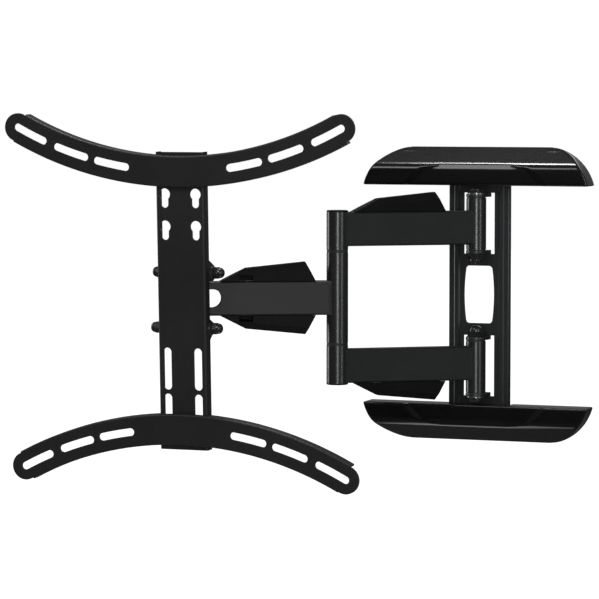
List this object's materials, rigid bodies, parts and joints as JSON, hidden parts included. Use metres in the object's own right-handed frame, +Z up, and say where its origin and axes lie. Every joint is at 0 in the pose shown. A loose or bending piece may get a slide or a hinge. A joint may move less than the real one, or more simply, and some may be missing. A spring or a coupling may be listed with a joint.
{
  "type": "television wall mount",
  "caption": "Full motion wall mount: wall channel with covers, stacked wall arms, forearm, swivel and tilt head, and a slotted bar with curved television brackets.",
  "frame": {"origin": "on the wall face, at mid height, on the line of the wall pivots", "axes": "+X to the right seen from the room, +Y into the wall, +Z up"},
  "size_m": [0.6479, 0.242, 0.4327],
  "materials": {
    "gloss_cover": "gloss black",
    "cable_cover_plastic": "matte black",
    "bearing_plastic": "plain dark",
    "bracket_paint": "matte black powder coat",
    "forearm_paint": "matte black powder coat",
    "arm_paint": "satin black powder coat",
    "fastener_steel": "dark zinc"
  },
  "bodies": {
    "wall_plate": {"wall_channel": "arm_paint", "upper_wall_rail": "arm_paint", "lower_wall_rail": "arm_paint", "upper_wall_cover": "gloss_cover", "lower_wall_cover": "gloss_cover", "upper_wall_pivot_bolt": "fastener_steel", "lower_wall_pivot_bolt": "fastener_steel", "wall_pivot_washers": "fastener_steel", "wall_pivot_dome_nuts": "fastener_steel"},
    "wall_arms": {"upper_wall_arm": "arm_paint", "lower_wall_arm": "arm_paint", "upper_wall_pivot_tube": "arm_paint", "lower_wall_pivot_tube": "arm_paint", "wall_pivot_bushes": "bearing_plastic", "upper_elbow_tube": "arm_paint", "lower_elbow_tube": "arm_paint", "elbow_spacers": "fastener_steel", "elbow_thrust_washers": "bearing_plastic", "elbow_bolt": "fastener_steel", "elbow_nut": "fastener_steel", "elbow_end_caps": "cable_cover_plastic", "upper_wall_arm_cable_cover": "cable_cover_plastic", "lower_wall_arm_cable_cover": "cable_cover_plastic"},
    "forearm": {"forearm_tube": "forearm_paint", "forearm_elbow_tube": "arm_paint", "elbow_bushes": "bearing_plastic", "upper_forearm_cable_cover": "cable_cover_plastic", "lower_forearm_cable_cover": "cable_cover_plastic", "head_pivot_bolt": "fastener_steel", "head_pivot_nut": "fastener_steel", "head_pivot_washers": "fastener_steel"},
    "head": {"head_barrel": "bracket_paint", "head_bracket": "bracket_paint", "head_friction_washers": "bearing_plastic", "tilt_pivot_bolts": "fastener_steel", "tilt_pivot_friction_washers": "bearing_plastic", "tilt_pivot_washers": "fastener_steel", "tilt_pivot_dome_nuts": "fastener_steel"},
    "tv_plate": {"vertical_bar": "bracket_paint", "upper_tv_bracket": "bracket_paint", "upper_bracket_studs": "fastener_steel", "upper_bracket_washers": "fastener_steel", "upper_bracket_nuts": "fastener_steel", "tilt_lock_bolts": "fastener_steel", "tilt_lock_friction_washers": "bearing_plastic", "tilt_lock_washers": "fastener_steel", "tilt_lock_dome_nuts": "fastener_steel"},
    "lower_bracket": {"lower_tv_bracket": "bracket_paint", "lower_bracket_studs": "fastener_steel", "lower_bracket_washers": "fastener_steel", "lower_bracket_nuts": "fastener_steel"}
  },
  "joints": [
    {"name": "wall_swing", "type": "hinge", "parent": "wall_plate", "child": "wall_arms", "pos_m": [0, -0.022, 0], "axis": [0, 0, 1], "range_deg": [-34.2, 145.8]},
    {"name": "elbow", "type": "hinge", "parent": "wall_arms", "child": "forearm", "pos_m": [-0.1406, -0.11755, 0], "axis": [0, 0, -1], "range_deg": [-116, 100]},
    {"name": "head_swivel", "type": "hinge", "parent": "forearm", "child": "head", "pos_m": [-0.29314, -0.19261, 0], "axis": [0, 0, 1], "range_deg": [-138.8, 11.2]},
    {"name": "tilt", "type": "hinge", "parent": "head", "child": "tv_plate", "pos_m": [-0.29314, -0.21001, -0.033], "axis": [1, 0, 0], "range_deg": [-4.3, 7.7]},
    {"name": "lower_bracket_slide", "type": "slide", "parent": "tv_plate", "child": "lower_bracket", "axis": [0, -0.0401, 0.9992], "range_m": [-0.005, 0.037]}
  ]
}
